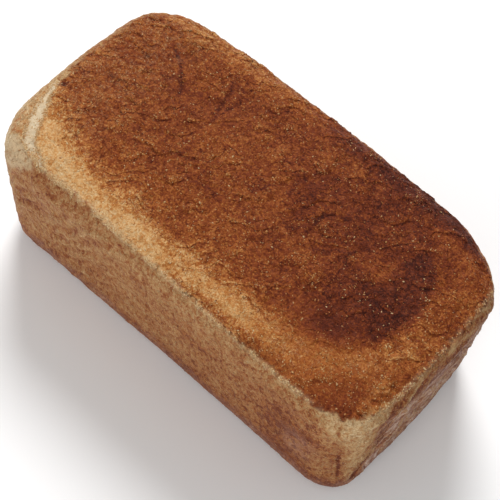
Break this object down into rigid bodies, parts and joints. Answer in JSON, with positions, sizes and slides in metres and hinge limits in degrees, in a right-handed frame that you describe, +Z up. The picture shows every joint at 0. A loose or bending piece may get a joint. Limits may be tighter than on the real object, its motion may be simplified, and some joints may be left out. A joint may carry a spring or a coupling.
{
  "type": "tin loaf",
  "caption": "Uncut rectangular tin loaf of wholemeal bread with a crowned, mottled dark brown top crust, a pale torn strip at one end, and straight tan sides.",
  "frame": {"origin": "centre of the flat underside, in the middle of the loaf's plan", "axes": "+X along the loaf's length toward the end with the darkest crust, +Y across its width toward the back long side, +Z up"},
  "size_m": [0.249, 0.132, 0.0973],
  "materials": {
    "crust": "satin"
  },
  "bodies": {
    "root": {"loaf": "crust"}
  },
  "joints": []
}
